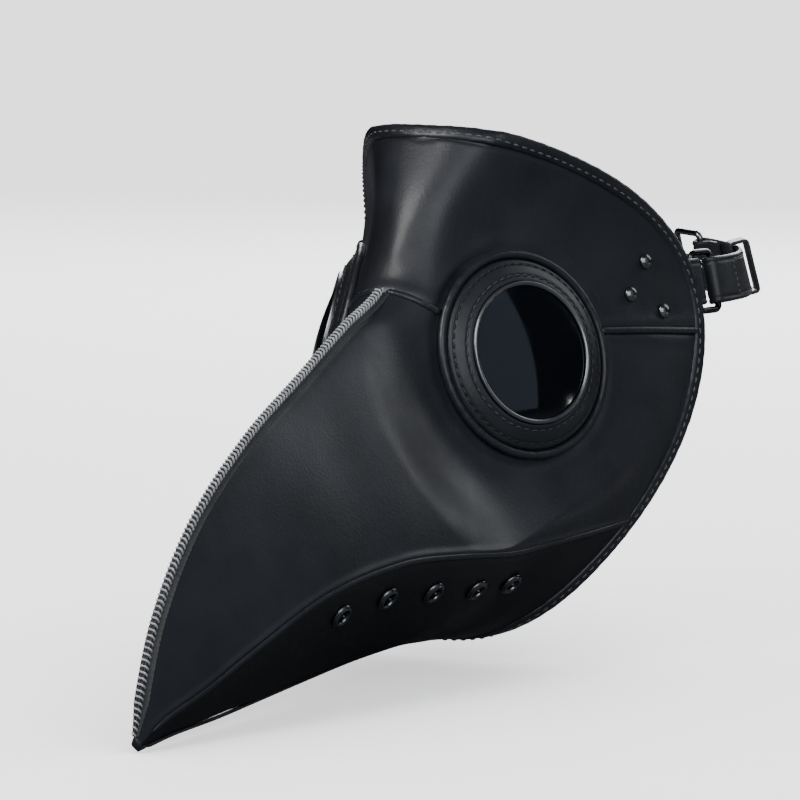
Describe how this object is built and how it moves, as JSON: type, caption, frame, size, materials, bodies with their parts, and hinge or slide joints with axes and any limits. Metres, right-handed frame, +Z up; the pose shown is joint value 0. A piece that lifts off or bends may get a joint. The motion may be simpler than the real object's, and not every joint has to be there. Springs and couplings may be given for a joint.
{
  "type": "plague doctor mask",
  "caption": "Black leather face mask with a long down-curved beak, stitched ridge, round tinted eyepieces, vent eyelets and a buckled head strap.",
  "frame": {"origin": "middle of the forehead pad's flat inner face, where the mask rests on the wearer's brow", "axes": "-Y is the way the mask looks, +X is the wearer's left, +Z is up"},
  "size_m": [0.1532, 0.4317, 0.2052],
  "materials": {
    "black_leather": "smooth satin black leather with a fine grain",
    "dark_leather": "duller black leather",
    "pale_thread": "waxed pale grey thread",
    "black_metal": "black lacquered metal",
    "steel": "dark polished steel",
    "tinted_lens": "glossy dark tinted lens",
    "black_plastic": "satin black moulded plastic",
    "grey_foam": "felt-covered foam"
  },
  "bodies": {
    "mask": {"beak_panel_left": "black_leather", "beak_panel_right": "black_leather", "brow_piping_left": "black_leather", "brow_piping_right": "black_leather", "edge_binding": "dark_leather", "eye_piping_left": "black_leather", "eye_piping_right": "black_leather", "eye_ring_left": "black_leather", "eye_ring_right": "black_leather", "forehead_pad": "grey_foam", "forehead_panel": "black_leather", "keel_welt": "dark_leather", "lens_bezel_left": "black_metal", "lens_bezel_right": "black_metal", "lens_left": "tinted_lens", "lens_retainer_left": "black_plastic", "lens_retainer_right": "black_plastic", "lens_right": "tinted_lens", "lower_seam_piping_left": "black_leather", "lower_seam_piping_right": "black_leather", "ridge_stitching": "pale_thread", "ridge_welt": "black_leather", "strap_loop_left": "black_metal", "strap_loop_right": "black_metal", "strap_tab_left": "black_leather", "strap_tab_right": "black_leather", "temple_piping_left": "black_leather", "temple_piping_right": "black_leather", "temple_rivet_left_1": "steel", "temple_rivet_left_2": "steel", "temple_rivet_left_3": "steel", "temple_rivet_right_1": "steel", "temple_rivet_right_2": "steel", "temple_rivet_right_3": "steel", "under_beak_panel_left": "dark_leather", "under_beak_panel_right": "dark_leather", "vent_eyelet_left_1": "black_metal", "vent_eyelet_left_2": "black_metal", "vent_eyelet_left_3": "black_metal", "vent_eyelet_left_4": "black_metal", "vent_eyelet_left_5": "black_metal", "vent_eyelet_right_1": "black_metal", "vent_eyelet_right_2": "black_metal", "vent_eyelet_right_3": "black_metal", "vent_eyelet_right_4": "black_metal", "vent_eyelet_right_5": "black_metal"},
    "left_strap": {"head_strap_left": "black_leather"},
    "right_strap": {"head_strap_right": "black_leather"},
    "buckle": {"buckle_frame": "steel"},
    "prong": {"buckle_prong": "steel"},
    "keeper": {"strap_keeper": "black_leather"}
  },
  "joints": [
    {"name": "left_strap_hinge", "type": "hinge", "parent": "mask", "child": "left_strap", "pos_m": [0.06939, 0.10184, -0.04433], "axis": [0.2307, -0.0728, -0.9703], "range_deg": [0, 70]},
    {"name": "right_strap_hinge", "type": "hinge", "parent": "mask", "child": "right_strap", "pos_m": [-0.06939, 0.10184, -0.04433], "axis": [0.2307, 0.0728, 0.9703], "range_deg": [0, 70]},
    {"name": "buckle_hinge", "type": "hinge", "parent": "left_strap", "child": "buckle", "pos_m": [0.03787, 0.1644, -0.04433], "axis": [0.1353, 0.2006, -0.9703], "range_deg": [0, 50]},
    {"name": "prong_hinge", "type": "hinge", "parent": "buckle", "child": "prong", "pos_m": [0.03787, 0.1644, -0.04433], "axis": [0.1353, 0.2006, -0.9703], "range_deg": [0, 70]},
    {"name": "keeper_slide", "type": "slide", "parent": "left_strap", "child": "keeper", "axis": [-0.5847, 0.8112, 0], "range_m": [-0.004, 0.006]}
  ]
}
